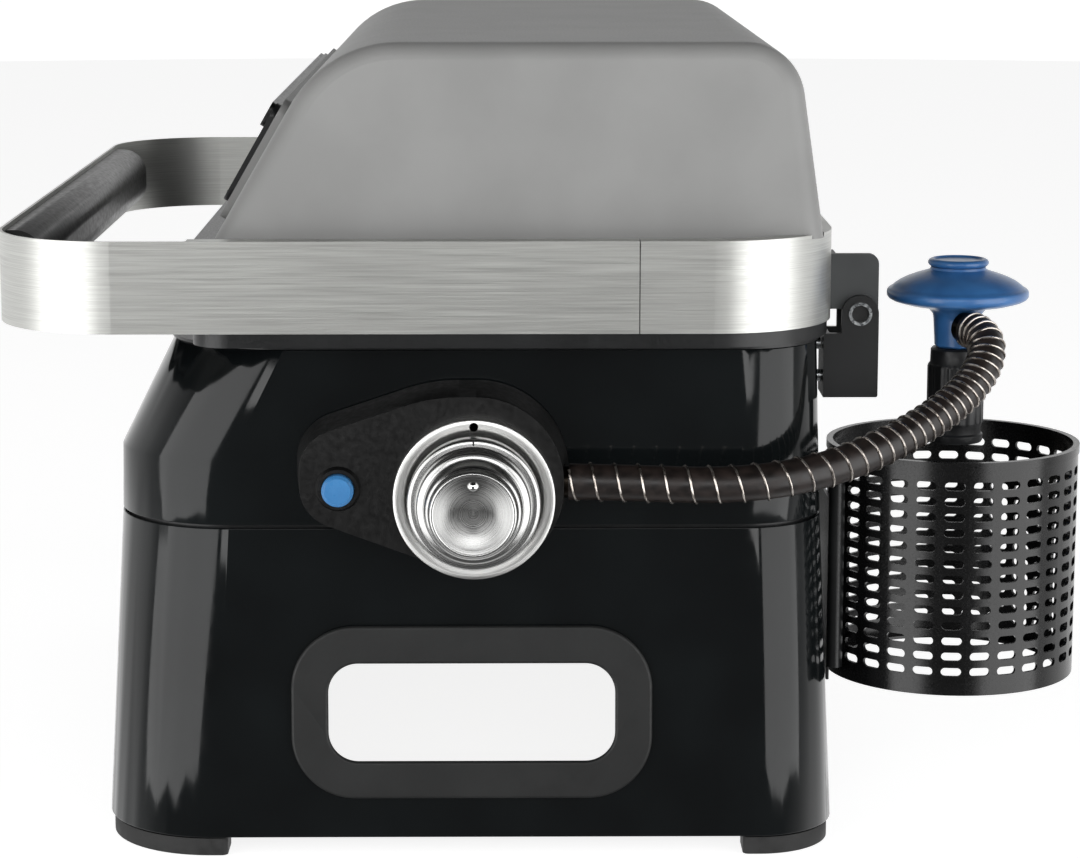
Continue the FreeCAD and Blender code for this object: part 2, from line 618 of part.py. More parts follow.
def on_front(thing, along, out):
    """Place an object drawn flat (x across, y up the slope, z outwards) on the lid's sloping front."""
    angle = math.radians(float(c["front_slope"]))
    y = -float(c["lid_front"]) + float(along) * math.sin(angle) - float(out) * math.cos(angle)
    z = float(c["lid_bottom"]) + float(along) * math.cos(angle) + float(out) * math.sin(angle)
    flat = FreeCAD.Rotation(FreeCAD.Vector(1, 0, 0), 90 - float(c["front_slope"]))
    thing.Placement = FreeCAD.Placement(FreeCAD.Vector(0, y, z), flat)
    return thing


def slab(half, low, high, thick, radius, hole=None):
    """A flat rounded plate with an optional window, lying in its own XY plane from Z 0."""
    outlines = [rectangle(-half, half, low, high, radius)]
    if hole:
        outlines.append(rectangle(*hole))
    return plate("XY_Plane", 0, thick, outlines)


def make_lid():
    opening = on_front(slab(c["glass_half"] + 8, c["glass_low"] - 2, c["glass_high"] + 9, 60, 6), 0, -30)
    shell = cut(lid_solid(0, 0), lid_solid(float(c["lid_wall"]), 4), opening)
    sub_part(shell, "lid_shell")

    frame = slab(c["door_frame_half"], c["door_frame_low"], c["door_frame_high"], c["door_frame_thick"], 9,
                 (-(c["glass_half"] + 7), c["glass_half"] + 7, c["glass_low"] - 1, c["glass_high"] + 8, 6))
    sub_part(on_front(frame, 0, 0.05), "door_frame")

    out = float(c["door_frame_thick"]) + 0.4
    panel = slab(c["door_half"], c["door_low"] + c["door_barrel"] + 0.05, c["door_high"], c["door_thick"], 7,
                 (-c["glass_half"], c["glass_half"], c["glass_low"], c["glass_high"], 5))
    sub_part(on_front(panel, 0, out), "door_panel")
    glass = slab(c["glass_half"] - 0.3, c["glass_low"] + 0.3, c["glass_high"] - 0.3, c["door_thick"] - 0.4, 4.7)
    sub_part(on_front(glass, 0, out), "door_glass")
    lip = slab(c["door_half"] - 6, c["glass_high"] + 3, c["door_high"] - 1, 2.2, 4)
    sub_part(on_front(lip, 0, out + float(c["door_thick"]) + 0.02), "door_handle")
    # the door turns about a pin that stands on two posts just above the door frame
    hinge_line, pin_out, pin_half, barrel_length = float(c["door_low"]), out + 1.9, 165, 40
    knuckles = [tube(c["door_barrel"], c["door_pin"] + 0.05, barrel_length, (x, 0, 0), "x")
                for x in (-150, -30, 110)]
    sub_part(on_front(group(knuckles), hinge_line, pin_out), "door_knuckles")
    pin = cylinder(c["door_pin"], pin_half * 2, (-pin_half, 0, 0), "x")
    posts = [box((x, -c["door_pin"], -2.2), (x + 8, c["door_pin"], 0)) for x in (-162, 154)]
    sub_part(on_front(fuse(pin, *posts), hinge_line, pin_out), "door_pin")


# ---- hinges ----------------------------------------------------------------------------------------------
def make_hinges():
    y, z, back = c["hinge_y"], c["hinge_z"], c["hinge_back"]
    leaf_thick, cheek = 4.0, c["hinge_cheek"]
    bracket_y = c["rim_rear"] + 3.4
    base_screws, leaf_screws = [], []
    for side, sign in (("right", 1), ("left", -1)):
        middle = c["hinge_x"] * sign
        cheeks = []
        ear = [(bracket_y, c["hinge_low"], 0), (back, c["hinge_low"], 1), (back, z - 8, 1),
               (y + 9, z + 9, 8.9), (y - 9, z + 9, 8.9), (y - 9, z - 9.6, 0), (bracket_y, z - 9.6, 0)]
        for offset in (-13, 9.5):
            cheeks.append(plate("YZ_Plane", middle + offset, cheek, [ear],
                                [(y, z, c["pin_radius"] + 0.05)]))
        web = box((middle - 12, bracket_y, c["hinge_low"]), (middle + 12, bracket_y + 3, z - 9.6))
        sub_part(fuse(web, *cheeks), "hinge_base_" + side)
        pin = tube(c["pin_radius"], c["pin_bore"], 28, (middle - 14, y, z), "x")
        sub_part(pin, "hinge_pin_" + side)
        leaf_side = plate("YZ_Plane", middle + 9.2 - leaf_thick if sign > 0 else middle - 9.2, leaf_thick,
                          [[(c["band_rear"] + 0.05, z + 2, 0), (y - 8, z + 2, 2), (y - 8, z - 7.5, 5),
                            (y + 7.5, z - 7.5, 5), (back, z + 1, 1), (back, z + 29, 5),
                            (c["band_rear"] + 0.05, z + 29, 0)]],
                          [(y, z, c["pin_radius"] + 0.05)])
        flange = box((middle - 9, c["band_rear"] + 0.05, z + 2), (middle + 9, c["band_rear"] + 3.0, z + 29))
        sub_part(fuse(leaf_side, flange), "hinge_leaf_" + side)
        for offset in (-6, 0):
            screw_at = (middle + offset * sign, c["band_rear"] + 3.05, z + 10 - offset * 2)
            leaf_screws.append(cylinder(2.6, 1.6, screw_at, "y"))
        for height in (228, 244):
            gap_y = c["rim_rear"] + 0.15 + (248 - height) * 0.03
            base_screws.append(cylinder(3.0, 2.6, (middle, gap_y, height), "y"))
    sub_part(group(leaf_screws), "leaf_screws")
    return base_screws


# ---- controls --------------------------------------------------------------------------------------------
def teardrop(spread):
    """The console's outline: a large round about the knob, drawn in by two slanting sides to a blunt tip."""
    big = c["console_radius"] + spread
    right, left = c["knob_y"] + big, c["console_tip_y"] - spread
    top, bottom = c["console_z"] + big, c["console_z"] - big
    round_radius, tip_radius = big - 1, 20.0 + spread
    return [(right, bottom, round_radius), (right, top, round_radius),
            (c["knob_y"] - 20 - spread * 0.16, top, 80), (left, c["console_tip_top"] + spread * 0.72, tip_radius),
            (left, c["console_tip_low"] - spread * 0.73, tip_radius),
            (c["knob_y"] - 7 - spread * 0.16, bottom, 17)]


def make_console():
    """A moulded cover: walls drawn in towards the face, hollow behind it."""
    flare, wall, face_thick = 3.0, 4.0, 3.0
    console = new_body()
    form = console.newObject("PartDesign::AdditiveLoft", "Form")
    form.Profile = new_sketch(console, "YZ_Plane", c["console_wall"] + 1.0, [teardrop(flare)])
    form.Sections = [new_sketch(console, "YZ_Plane", c["console_face"], [teardrop(0)])]
    form.Ruled = True
    console.Tip = form
    pocket(console, "YZ_Plane", c["console_wall"], (c["console_face"] - c["console_wall"] - face_thick) * 2,
           [teardrop(-wall)])
    valve_hole, button_gap = 13, 1.2
    pocket(console, "YZ_Plane", c["console_face"], 20, circles=[(c["knob_y"], c["knob_z"], valve_hole)])
    pocket(console, "YZ_Plane", c["console_face"], 20,
           circles=[(c["button_y"], c["button_z"], c["button_radius"] + button_gap)])
    # the hose leaves through the cover's rear edge
    pocket(console, "XZ_Plane", -23, 20, circles=[(c["console_face"] - 9.6, c["console_z"], 8.4)])
    sub_part(console, "console")


def make_knob():
    y, z = c["knob_y"], c["knob_z"]
    face = c["console_face"] + 0.05
    bezel = cut(cone(c["bezel_radius"], c["bezel_radius"] - 1.5, c["bezel_face"] - face, (face, y, z), "x"),
                cylinder(12, 30, (face - 5, y, z), "x"))
    sub_part(bezel, "knob_bezel")
    base = c["bezel_face"] + c["push"] + 0.6
    stem_radius, stem_length = 3.5, 76.0
    skirt = cut(cone(c["skirt_radius"], c["skirt_radius"] - 2.4, 9, (base, y, z), "x"),
                cylinder(c["cap_radius"] - 3, 5, (base - 1, y, z), "x"),
                cylinder(stem_radius + 0.1, 12, (base - 1, y, z), "x"))
    sub_part(skirt, "knob_skirt")
    cap_start = base + 9.05
    middle = cone(c["cap_radius"] + 2.6, c["cap_radius"] + 1.0, 8, (cap_start, y, z), "x")
    top = cone(c["cap_radius"], c["dish_radius"] + 2.0, c["knob_face"] - cap_start - 8,
               (cap_start + 8, y, z), "x")
    dish = doc.addObject("Part::Sphere", "Dish")
    bind(dish, "Radius", 46)
    place(dish, (c["knob_face"] + 42.2, y, z))
    marker_seat = cylinder(2.3, 12, (c["knob_face"] - 5.0, y, z + 13.4), "x")
    socket = cylinder(stem_radius + 0.1, 17.5, (cap_start - 1, y, z), "x")
    sub_part(cut(fuse(middle, top), dish, marker_seat, socket), "knob_cap")
    ball = doc.addObject("Part::Sphere", "Ball")
    bind(ball, "Radius", 2.2)
    sub_part(place(ball, (c["knob_face"] - 2.4, y, z + 13.4)), "knob_marker")
    # the stem reaches from the valve's gland into the cap's socket
    stem = cylinder(stem_radius, stem_length, (cap_start - 60, y, z), "x")
    collar = cylinder(8, 2, (cap_start - 9.6, y, z), "x")
    sub_part(fuse(stem, collar), "valve_stem")
    back, front = c["seam_half"] - 20, c["seam_half"] + 14
    body = cut(fuse(box((back, y - 9, z - 9), (front, y + 9, z + 9)), cylinder(8.9, 7, (front - 1, y, z), "x")),
               cylinder(stem_radius + 0.1, 60, (back + 11, y, z), "x"))
    inlet = cylinder(5, 23, (c["console_face"] - 19.4, y + 9.01, z), "y")
    sub_part(cut(body, cylinder(2.5, 20, (c["console_face"] - 19.4, y + 2, z), "y")), "valve_body")
    sub_part(inlet, "gas_inlet")


def make_igniter():
    y, z = c["button_y"], c["button_z"]
    face = c["console_face"]
    bezel = cut(cone(c["button_radius"] + 3.2, c["button_radius"] + 2.0, 2.2, (face + 0.02, y, z), "x"),
                cylinder(c["button_radius"] + 0.35, 20, (face - 10, y, z), "x"))
    sub_part(bezel, "igniter_bezel")
    button = fuse(cylinder(c["button_radius"], 14, (face - 8, y, z), "x"),
                  cone(c["button_radius"], c["button_radius"] - 1.4, 1.4, (face + 6, y, z), "x"))
    sub_part(button, "igniter_button")
    module = cut(cylinder(c["button_radius"] + 1.0, 27, (face - 32, y, z), "x"),
                 cylinder(c["button_radius"] - 1.0, 22, (face - 26, y, z), "x"),
                 cylinder(c["button_radius"] + 0.3, 12, (face - 14, y, z), "x"))
    sub_part(module, "igniter_module")
    spark = fuse(cylinder(3, 22, (c["burner_half"] - 40, -c["burner_y"] + 20, c["bowl_floor"] + 1.25), "z"),
                 cylinder(1, 8, (c["burner_half"] - 40, -c["burner_y"] + 20, c["bowl_floor"] + 23), "z"))
    sub_part(spark, "spark_electrode")


# ---- gas: regulator, hose, basket ------------------------------------------------------------------------
def make_regulator():
    x, y = c["gas_x"], c["gas_y"]
    bonnet = new_body()
    profile = [(0, 258.4, 0), (24, 258.4, 0), (34, 261.2, 4), (35.6, 264.5, 1.6), (34.4, 267.4, 1.6),
               (27.0, 272.8, 20), (15.6, 276.6, 3), (13.8, 278.0, 1), (0, 278.0, 0)]
    sketch = new_sketch(bonnet, "XZ_Plane", 0, [profile])
    turned = bonnet.newObject("PartDesign::Revolution", "Turned")
    turned.Profile = sketch
    turned.ReferenceAxis = (sketch, ["V_Axis"])
    turned.Angle = 360
    bonnet.Tip = turned
    sub_part(place(bonnet, (x, y, 0)), "regulator_bonnet")
    cap = fuse(cone(13.6, 15.2, 1.8, (x, y, 278.05)), cone(15.2, 13.2, 2.2, (x, y, 279.85)))
    sub_part(cap, "regulator_cap")
    neck = fuse(cylinder(11.6, 21, (x, y, 237.3)), cone(12, 17, 0.8, (x, y, 257.5)))
    sub_part(neck, "regulator_body")
    nut = cut(fuse(cylinder(13.4, 48, (x, y, 189.2)), cylinder(14.4, 30, (x, y, 199)),
                   cylinder(14.4, 4, (x, y, 190))),
              cylinder(c["bottle_thread"] - 0.7, 34, (x, y, 188)), cylinder(4, 60, (x, y, 185)))
    sub_part(nut, "regulator_nut")


# The hose's own line, from the console's rear edge to the regulator's port: (x, y, z) points.
HOSE_ROUTE = [(283.4, 26.4, 189.5), (285.5, 58, 189.2), (287.6, 94, 188.2), (284.0, 127, 190.0),
              (273.0, 156, 195.0), (257.0, 181, 202.2), (243.0, 203, 211.6), (230.5, 221.0, 222.6),
              (219.5, 232.3, 236.0), (207.5, 233.4, 247.4), (195.5, 227.0, 248.6)]


def hose_path(route):
    """Straight runs joined by tangent arcs, each as large as its two runs allow."""
    points = [FreeCAD.Vector(*p) for p in route]
    edges = []
    start = points[0]
    length = 0.0
    radii = []
    for before, corner, after in zip(points, points[1:], points[2:]):
        back = (before - corner).normalize()
        ahead = (after - corner).normalize()
        turn = math.pi - back.getAngle(ahead)
        run = min((before - corner).Length, (after - corner).Length)
        radius = 0.45 * run / math.tan(turn / 2)
        radii.append(radius)
        reach = 0.45 * run
        inwards = (back + ahead).normalize()
        middle = corner + inwards * (radius / math.cos(turn / 2) - radius)
        edges.append(Part.LineSegment(start, corner + back * reach).toShape())
        edges.append(Part.Arc(corner + back * reach, middle, corner + ahead * reach).toShape())
        start = corner + ahead * reach
    edges.append(Part.LineSegment(start, points[-1]).toShape())
    for edge in edges:
        length += edge.Length
    print("hose arc radii, mm:", " ".join("%.1f" % radius for radius in radii))
    return Part.Wire(edges), length


def make_hose():
    wire, length = hose_path(HOSE_ROUTE)
    radius = float(c["hose_radius"])
    start = FreeCAD.Vector(*HOSE_ROUTE[0])
    way = (FreeCAD.Vector(*HOSE_ROUTE[1]) - start).normalize()
    ring = Part.Wire([Part.Circle(start, way, radius).toShape()])
    solid = wire.makePipeShell([ring], True, False)
    expected = math.pi * radius ** 2 * length
    print("hose length %.1f mm, volume %.1f, section x length %.1f" % (length, solid.Volume, expected))
    if abs(solid.Volume / expected - 1) > 0.01:
        raise RuntimeError("the hose's volume is wrong")
    hose = doc.addObject("Part::Feature", "Hose")
    hose.Shape = solid
    hose.Placement = FreeCAD.Placement()
    sub_part(hose, "gas_hose")

    for label, tip, inner, reach in (("hose_ferrule_valve", 0, 1, 12.0), ("hose_ferrule_regulator", -1, -2, 5.3)):
        end = FreeCAD.Vector(*HOSE_ROUTE[tip])
        out = (end - FreeCAD.Vector(*HOSE_ROUTE[inner])).normalize()
        turn = FreeCAD.Rotation(FreeCAD.Vector(0, 0, 1), out)
        ferrule = cylinder(7.6, reach, (0, 0, 0))
        ferrule.Placement = FreeCAD.Placement(end, turn)
        sub_part(ferrule, label)


def make_basket():
    x, y, radius = c["gas_x"], c["gas_y"] - 0.8, c["basket_radius"]
    bottom, top, wall = c["basket_bottom"], c["basket_top"], c["basket_wall"]
    tall, long = float(c["slot_height"]), float(c["slot_length"])
    axis = FreeCAD.Vector(0, 0, 1)

    def ring(low, high, outer, inner):
        """A band of the basket, from its outer radius to its inner one."""
        base = FreeCAD.Vector(0, 0, low)
        return Part.makeCylinder(outer, high - low, base).cut(Part.makeCylinder(inner, high - low, base))

    low, high, outer = float(bottom), float(top), float(radius)
    wall_ring = ring(low, high, outer, outer - float(wall))
    foot_lip = ring(low, low + 1.5, outer - 0.5, outer - 9)
    rim = ring(high - 4, high, outer + 0.6, outer - 2.6)
    form = wall_ring.fuse([foot_lip, rim]).removeSplitter()
    # one slot with round ends, repeated up the wall and round it
    reach = (long - tall) / 2
    slot = Part.makeBox(2 * reach, 8, tall, FreeCAD.Vector(-reach, outer - 5, -tall / 2))
    ends = [Part.makeCylinder(tall / 2, 8, FreeCAD.Vector(way * reach, outer - 5, 0), FreeCAD.Vector(0, 1, 0))
            for way in (-1, 1)]
    slot = slot.fuse(ends).removeSplitter()
    middle = (low + high) / 2 - float(c["slot_pitch"]) * (SLOT_ROWS - 1) / 2
    slots = []
    for row in range(SLOT_ROWS):
        for column in range(SLOT_COLUMNS):
            hole = slot.copy()
            hole.translate(axis * (middle + float(c["slot_pitch"]) * row))
            hole.rotate(FreeCAD.Vector(), axis, 360 / SLOT_COLUMNS * (column + 0.5))
            slots.append(hole)
    basket = doc.addObject("Part::Feature", "Basket")
    basket.Shape = form.cut(Part.Compound(slots))
    sub_part(place(basket, (x, y, 0)), "cylinder_basket")
    # a flat hanger between the skirt's rear wall and the basket, with a round post at its outer edge
    rail_y, post_radius = y - radius - 2.4, 4.0
    rail = plate("XY_Plane", bottom, 92, [rectangle(x - 26, x + 31, rail_y, rail_y + 1.5, 0.5)])
    post = cylinder(post_radius, 100, (x + 31, rail_y + post_radius, bottom + 7))
    sub_part(fuse(rail, post), "basket_rail")
    return [cylinder(3.2, 2.0, (x + side, rail_y + 1.55, height), "y") for side in (-16, 16)
            for height in (92, 142)]


make_housings()
make_feet()
make_hand_bezels()
make_firebox()
make_band()
make_lid_frame()
make_lid()
hinge_screws = make_hinges()
make_console()
make_knob()
make_igniter()
make_regulator()
make_hose()
basket_screws = make_basket()
sub_part(group(hinge_screws + basket_screws), "base_screws")
doc.recompute()

for thing in doc.Objects:
    if "Invalid" in thing.State or "Error" in thing.State:
        raise RuntimeError("%s is in state %s" % (thing.Label, thing.State))

shift = FreeCAD.Placement(vector(-c["centre_x"], -c["centre_y"], 0), FreeCAD.Rotation())
os.makedirs("parts", exist_ok=True)
for part in PARTS:
    part.Placement = shift.multiply(part.Placement)
doc.recompute()
whole = FreeCAD.BoundBox()
for part in PARTS:
    shape = part.Shape
    if shape.isNull() or not shape.isValid():
        raise RuntimeError("%s has no valid shape" % part.Label)
    print("%-24s solids %d volume %.0f" % (part.Label, len(shape.Solids), shape.Volume))
    if part.Label not in ("gas_hose", "hose_ferrule_valve", "hose_ferrule_regulator", "regulator_bonnet",
                          "regulator_cap", "regulator_body", "regulator_nut"):
        whole.add(shape.BoundBox)
    shape.exportStep("parts/%s.step" % part.Label)
print("box without the hose:", whole)
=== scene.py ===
import math

import bmesh
import bpy
from mathutils import Matrix, Vector


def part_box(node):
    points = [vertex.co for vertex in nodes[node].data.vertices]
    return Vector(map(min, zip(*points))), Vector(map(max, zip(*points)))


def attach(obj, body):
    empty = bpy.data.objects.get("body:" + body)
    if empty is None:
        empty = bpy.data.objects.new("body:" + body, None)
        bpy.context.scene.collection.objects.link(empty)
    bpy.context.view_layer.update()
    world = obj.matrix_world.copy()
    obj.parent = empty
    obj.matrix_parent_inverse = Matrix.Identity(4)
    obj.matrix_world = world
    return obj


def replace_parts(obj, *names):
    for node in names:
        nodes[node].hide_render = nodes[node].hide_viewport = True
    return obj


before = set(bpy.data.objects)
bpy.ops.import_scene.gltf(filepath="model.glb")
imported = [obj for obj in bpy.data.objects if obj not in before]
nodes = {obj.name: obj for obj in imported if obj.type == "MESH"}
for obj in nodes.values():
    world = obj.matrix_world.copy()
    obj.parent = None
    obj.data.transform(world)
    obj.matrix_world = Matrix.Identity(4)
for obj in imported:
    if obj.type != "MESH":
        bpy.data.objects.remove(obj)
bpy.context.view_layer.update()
MM = 0.001
SHARP_ANGLE = math.radians(38)


# ---- small tools -----------------------------------------------------------------------------------------
def colour(code):
    """An sRGB hex value as linear RGBA."""
    parts = [int(code[i:i + 2], 16) / 255 for i in (1, 3, 5)]
    linear = [v / 12.92 if v <= 0.04045 else ((v + 0.055) / 1.055) ** 2.4 for v in parts]
    return (*linear, 1.0)


def add(tree, kind, inputs=None, **settings):
    """Add a node with its settings, input values and links; a link is a (node, output) pair."""
    made = tree.nodes.new(kind)
    for key, value in settings.items():
        setattr(made, key, value)
    for key, value in (inputs or {}).items():
        if isinstance(value, tuple) and isinstance(value[0], bpy.types.Node):
            tree.links.new(value[0].outputs[value[1]], made.inputs[key])
        else:
            made.inputs[key].default_value = value
    return made


def finish(name, **sockets):
    """A material with its shader's constant sockets set."""
    mat = bpy.data.materials.new(name)
    mat.use_nodes = True
    shader = mat.node_tree.nodes["Principled BSDF"]
    for key, value in sockets.items():
        shader.inputs[key.replace("_", " ")].default_value = value
    return mat, mat.node_tree, shader


def grain(tree, size_mm, detail=2.0, stretch=(1, 1, 1), offset=(0, 0, 0)):
    """Noise in the object's own metres whose features are about size_mm across."""
    where = add(tree, "ShaderNodeTexCoord")
    scale = tuple(axis / (size_mm * MM) for axis in stretch)
    spread = add(tree, "ShaderNodeMapping", {"Vector": (where, "Object"), "Scale": scale, "Location": offset})
    return add(tree, "ShaderNodeTexNoise", {"Vector": (spread, "Vector"), "Scale": 1.0, "Detail": detail})


def spread_colour(tree, shader, texture, low, high, output="Fac", low_at=0.35, high_at=0.65):
    """Base colour between two values, led by a texture."""
    ramp = add(tree, "ShaderNodeValToRGB", {"Fac": (texture, output)})
    ramp.color_ramp.elements[0].position = low_at
    ramp.color_ramp.elements[1].position = high_at
    ramp.color_ramp.elements[0].color = colour(low)
    ramp.color_ramp.elements[1].color = colour(high)
    tree.links.new(ramp.outputs["Color"], shader.inputs["Base Color"])


def spread_rough(tree, shader, texture, low, high, output="Fac"):
    """Roughness between two values, led by a texture."""
    mapped = add(tree, "ShaderNodeMapRange", {"Value": (texture, output), "From Min": 0.3, "From Max": 0.7,
                                              "To Min": low, "To Max": high})
    tree.links.new(mapped.outputs["Result"], shader.inputs["Roughness"])


def bump(tree, shader, texture, height_mm, strength=1.0, output="Fac"):
    """Surface relief from a texture, its depth in millimetres."""
    relief = add(tree, "ShaderNodeBump", {"Height": (texture, output), "Distance": height_mm * MM,
                                          "Strength": strength})
    tree.links.new(relief.outputs["Normal"], shader.inputs["Normal"])


# ---- finishes --------------------------------------------------------------------------------------------
def vitreous_enamel():
    """Fired black enamel on sheet steel: a deep gloss with a faint orange-peel ripple."""
    mat, tree, shader = finish("vitreous_enamel_black", IOR=1.5, Specular_IOR_Level=0.32)
    ripple = grain(tree, 9, 2)
    spread_colour(tree, shader, grain(tree, 60, 2), "#0b0d0e", "#101314")
    spread_rough(tree, shader, ripple, 0.07, 0.13)
    bump(tree, shader, ripple, 0.02, 0.5)
    return mat


def powder_coat_grey():
    """Baked grey powder coat: satin, with a fine pebble drawn at 1.2 mm so that it shows."""
    mat, tree, shader = finish("powder_coat_grey", IOR=1.5, Specular_IOR_Level=0.4)
    spread_colour(tree, shader, grain(tree, 45, 3), "#888887", "#8e8e8d")
    pebble = grain(tree, 1.2, 3)
    spread_rough(tree, shader, pebble, 0.38, 0.5)
    bump(tree, shader, pebble, 0.03, 0.35)
    return mat


def brushed_stainless():
    """Lengthwise brushed stainless sheet: long fine scratches, drawn 0.35 mm apart so that they show."""
    mat, tree, shader = finish("brushed_stainless", Metallic=1.0)
    scratch = grain(tree, 1.0, 3, (1 / 38, 1 / 38, 1 / 0.35))
    spread_colour(tree, shader, scratch, "#bcbcb9", "#cecfcb")
    spread_rough(tree, shader, grain(tree, 1.0, 2, (1 / 60, 1 / 60, 1 / 0.5), (3, 1, 7)), 0.36, 0.46)
    bump(tree, shader, scratch, 0.012, 0.14)
    return mat


def powder_coat_black(name, low, high, rough):
    """Semi-gloss powder coat on formed steel, its tone slightly uneven; the pebble is drawn at 1 mm."""
    mat, tree, shader = finish(name, IOR=1.5, Specular_IOR_Level=0.45)
    spread_colour(tree, shader, grain(tree, 30, 3), low, high)
    pebble = grain(tree, 1.0, 3)
    spread_rough(tree, shader, pebble, rough - 0.06, rough + 0.06)
    bump(tree, shader, pebble, 0.02, 0.4)
    return mat


def moulded_abs(name, low, high, rough):
    """Spark-textured moulded ABS: matt, with an even leathery grain drawn at 0.8 mm."""
    mat, tree, shader = finish(name, IOR=1.54, Specular_IOR_Level=0.4)
    pits = add(tree, "ShaderNodeTexVoronoi",
               {"Vector": (add(tree, "ShaderNodeTexCoord"), "Object"), "Scale": 1 / (0.8 * MM)})
    spread_colour(tree, shader, grain(tree, 25, 2), low, high)
    spread_rough(tree, shader, grain(tree, 3, 2), rough - 0.05, rough + 0.07)
    bump(tree, shader, pits, 0.03, 0.3, "Distance")
    return mat


def turned_metal(name, axis_y, axis_z, low, high, rough_low, rough_high, ring_mm, streak=0.0):
    """Turned steel: rings of fine tool marks about the part's own axis, with the sheen that follows them."""
    mat, tree, shader = finish(name, Metallic=1.0, Anisotropic=streak)
    where = add(tree, "ShaderNodeTexCoord")
    flat = add(tree, "ShaderNodeVectorMath", {0: (where, "Object"), 1: (0, axis_y, axis_z)},
               operation="SUBTRACT")
    disc = add(tree, "ShaderNodeVectorMath", {0: (flat, "Vector"), 1: (0, 1, 1)}, operation="MULTIPLY")
    radius = add(tree, "ShaderNodeVectorMath", {0: (disc, "Vector")}, operation="LENGTH")
    rings = add(tree, "ShaderNodeTexNoise",
                {"W": (radius, "Value"), "Scale": 1 / (ring_mm * MM), "Detail": 3},
                noise_dimensions="1D")
    round_way = add(tree, "ShaderNodeVectorMath", {0: (disc, "Vector"), 1: (1, 0, 0)},
                    operation="CROSS_PRODUCT")
    world_way = add(tree, "ShaderNodeVectorTransform", {"Vector": (round_way, "Vector")},
                    vector_type="VECTOR", convert_from="OBJECT", convert_to="WORLD")
    tree.links.new(world_way.outputs["Vector"], shader.inputs["Tangent"])
    spread_colour(tree, shader, rings, low, high)
    spread_rough(tree, shader, rings, rough_low, rough_high)
    bump(tree, shader, rings, 0.012, 0.3)
    return mat


def zinc_plate():
    """Bright zinc plating: pale, slightly blue, faintly mottled."""
    mat, tree, shader = finish("bright_zinc_plate", Metallic=1.0)
    mottled = grain(tree, 2, 3)
    spread_colour(tree, shader, mottled, "#a9adb0", "#cfd2d3")
    spread_rough(tree, shader, mottled, 0.2, 0.38)
    return mat


def aluminised_sheet():
    """Aluminised steel sheet: dull silver with a soft spangle and a straw heat tint."""
    mat, tree, shader = finish("aluminised_sheet", Metallic=1.0)
    spangle = grain(tree, 7, 4)
    spread_colour(tree, shader, spangle, "#85827b", "#a5a39d")
    spread_rough(tree, shader, spangle, 0.35, 0.55)
    return mat


def cast_iron():
    """Enamelled cast iron: matt near-black with a sandy casting skin."""
    mat, tree, shader = finish("enamelled_cast_iron", IOR=1.5, Specular_IOR_Level=0.35)
    sand = grain(tree, 1.4, 5)
    spread_colour(tree, shader, grain(tree, 12, 4), "#191816", "#262422")
    spread_rough(tree, shader, sand, 0.5, 0.75)
    bump(tree, shader, sand, 0.12, 0.6)
    return mat


def brass_finish(name, low, high):
    """Turned brass, dulled a little by handling."""
    mat, tree, shader = finish(name, Metallic=1.0)
    dull = grain(tree, 4, 3)
    spread_colour(tree, shader, dull, low, high)
    spread_rough(tree, shader, dull, 0.25, 0.42)
    return mat


def toughened_glass():
    """Lightly smoked toughened oven glass: grey and clear with a clean gloss."""
    mat, tree, shader = finish("toughened_glass", IOR=1.5, Transmission_Weight=0.75)
    haze = grain(tree, 40, 2)
    spread_colour(tree, shader, haze, "#7d8484", "#949b9b")
    spread_rough(tree, shader, haze, 0.02, 0.06)
    return mat


def hose_rubber():
    """Extruded nitrile rubber hose: brown-black and satin with a slight bloom."""
    mat, tree, shader = finish("nitrile_rubber_hose", IOR=1.52, Specular_IOR_Level=0.45)
    bloom = grain(tree, 5, 4)
    spread_colour(tree, shader, bloom, "#130f0e", "#241c19")
    spread_rough(tree, shader, bloom, 0.32, 0.5)
    bump(tree, shader, grain(tree, 0.9, 2), 0.02, 0.3)
    return mat


def drawn_wire():
    """Drawn spring wire: bright and worn smooth, its colour given a warm tint as a painted reflection of the
    rubber.
    """
    mat, tree, shader = finish("drawn_spring_wire", Metallic=1.0)
    worn = grain(tree, 3, 3)
    # Both tones carry a warm tint: a painted reflection of the rubber.
    spread_colour(tree, shader, worn, "#a59c94", "#d8d1ca")
    spread_rough(tree, shader, worn, 0.2, 0.36)
    return mat


def gloss_enamel(name, low, high):
    """Sprayed gloss enamel on zinc die casting: smooth colour with a soft highlight."""
    mat, tree, shader = finish(name, IOR=1.5, Specular_IOR_Level=0.5, Coat_Weight=0.25, Coat_Roughness=0.12)
    cloud = grain(tree, 14, 3)
    spread_colour(tree, shader, cloud, low, high)
    spread_rough(tree, shader, cloud, 0.28, 0.4)
    bump(tree, shader, grain(tree, 1.6, 2), 0.02, 0.25)
    return mat


def foot_rubber():
    """Moulded rubber feet: dark grey and dry, with a patchy dust."""
    mat, tree, shader = finish("moulded_foot_rubber", IOR=1.5, Specular_IOR_Level=0.3)
    dust = grain(tree, 6, 4)
    spread_colour(tree, shader, dust, "#242424", "#303030")
    spread_rough(tree, shader, dust, 0.55, 0.75)
    return mat


def glazed_ceramic():
    """Glazed alumina insulator: warm white with a clear glaze."""
    mat, tree, shader = finish("glazed_alumina", IOR=1.55)
    speck = grain(tree, 2, 3)
    spread_colour(tree, shader, speck, "#cfccc2", "#e2dfd6")
    spread_rough(tree, shader, speck, 0.15, 0.25)
    return mat


knob_low, knob_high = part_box("knob_bezel")
KNOB_Y = (knob_low.y + knob_high.y) / 2
KNOB_Z = (knob_low.z + knob_high.z) / 2

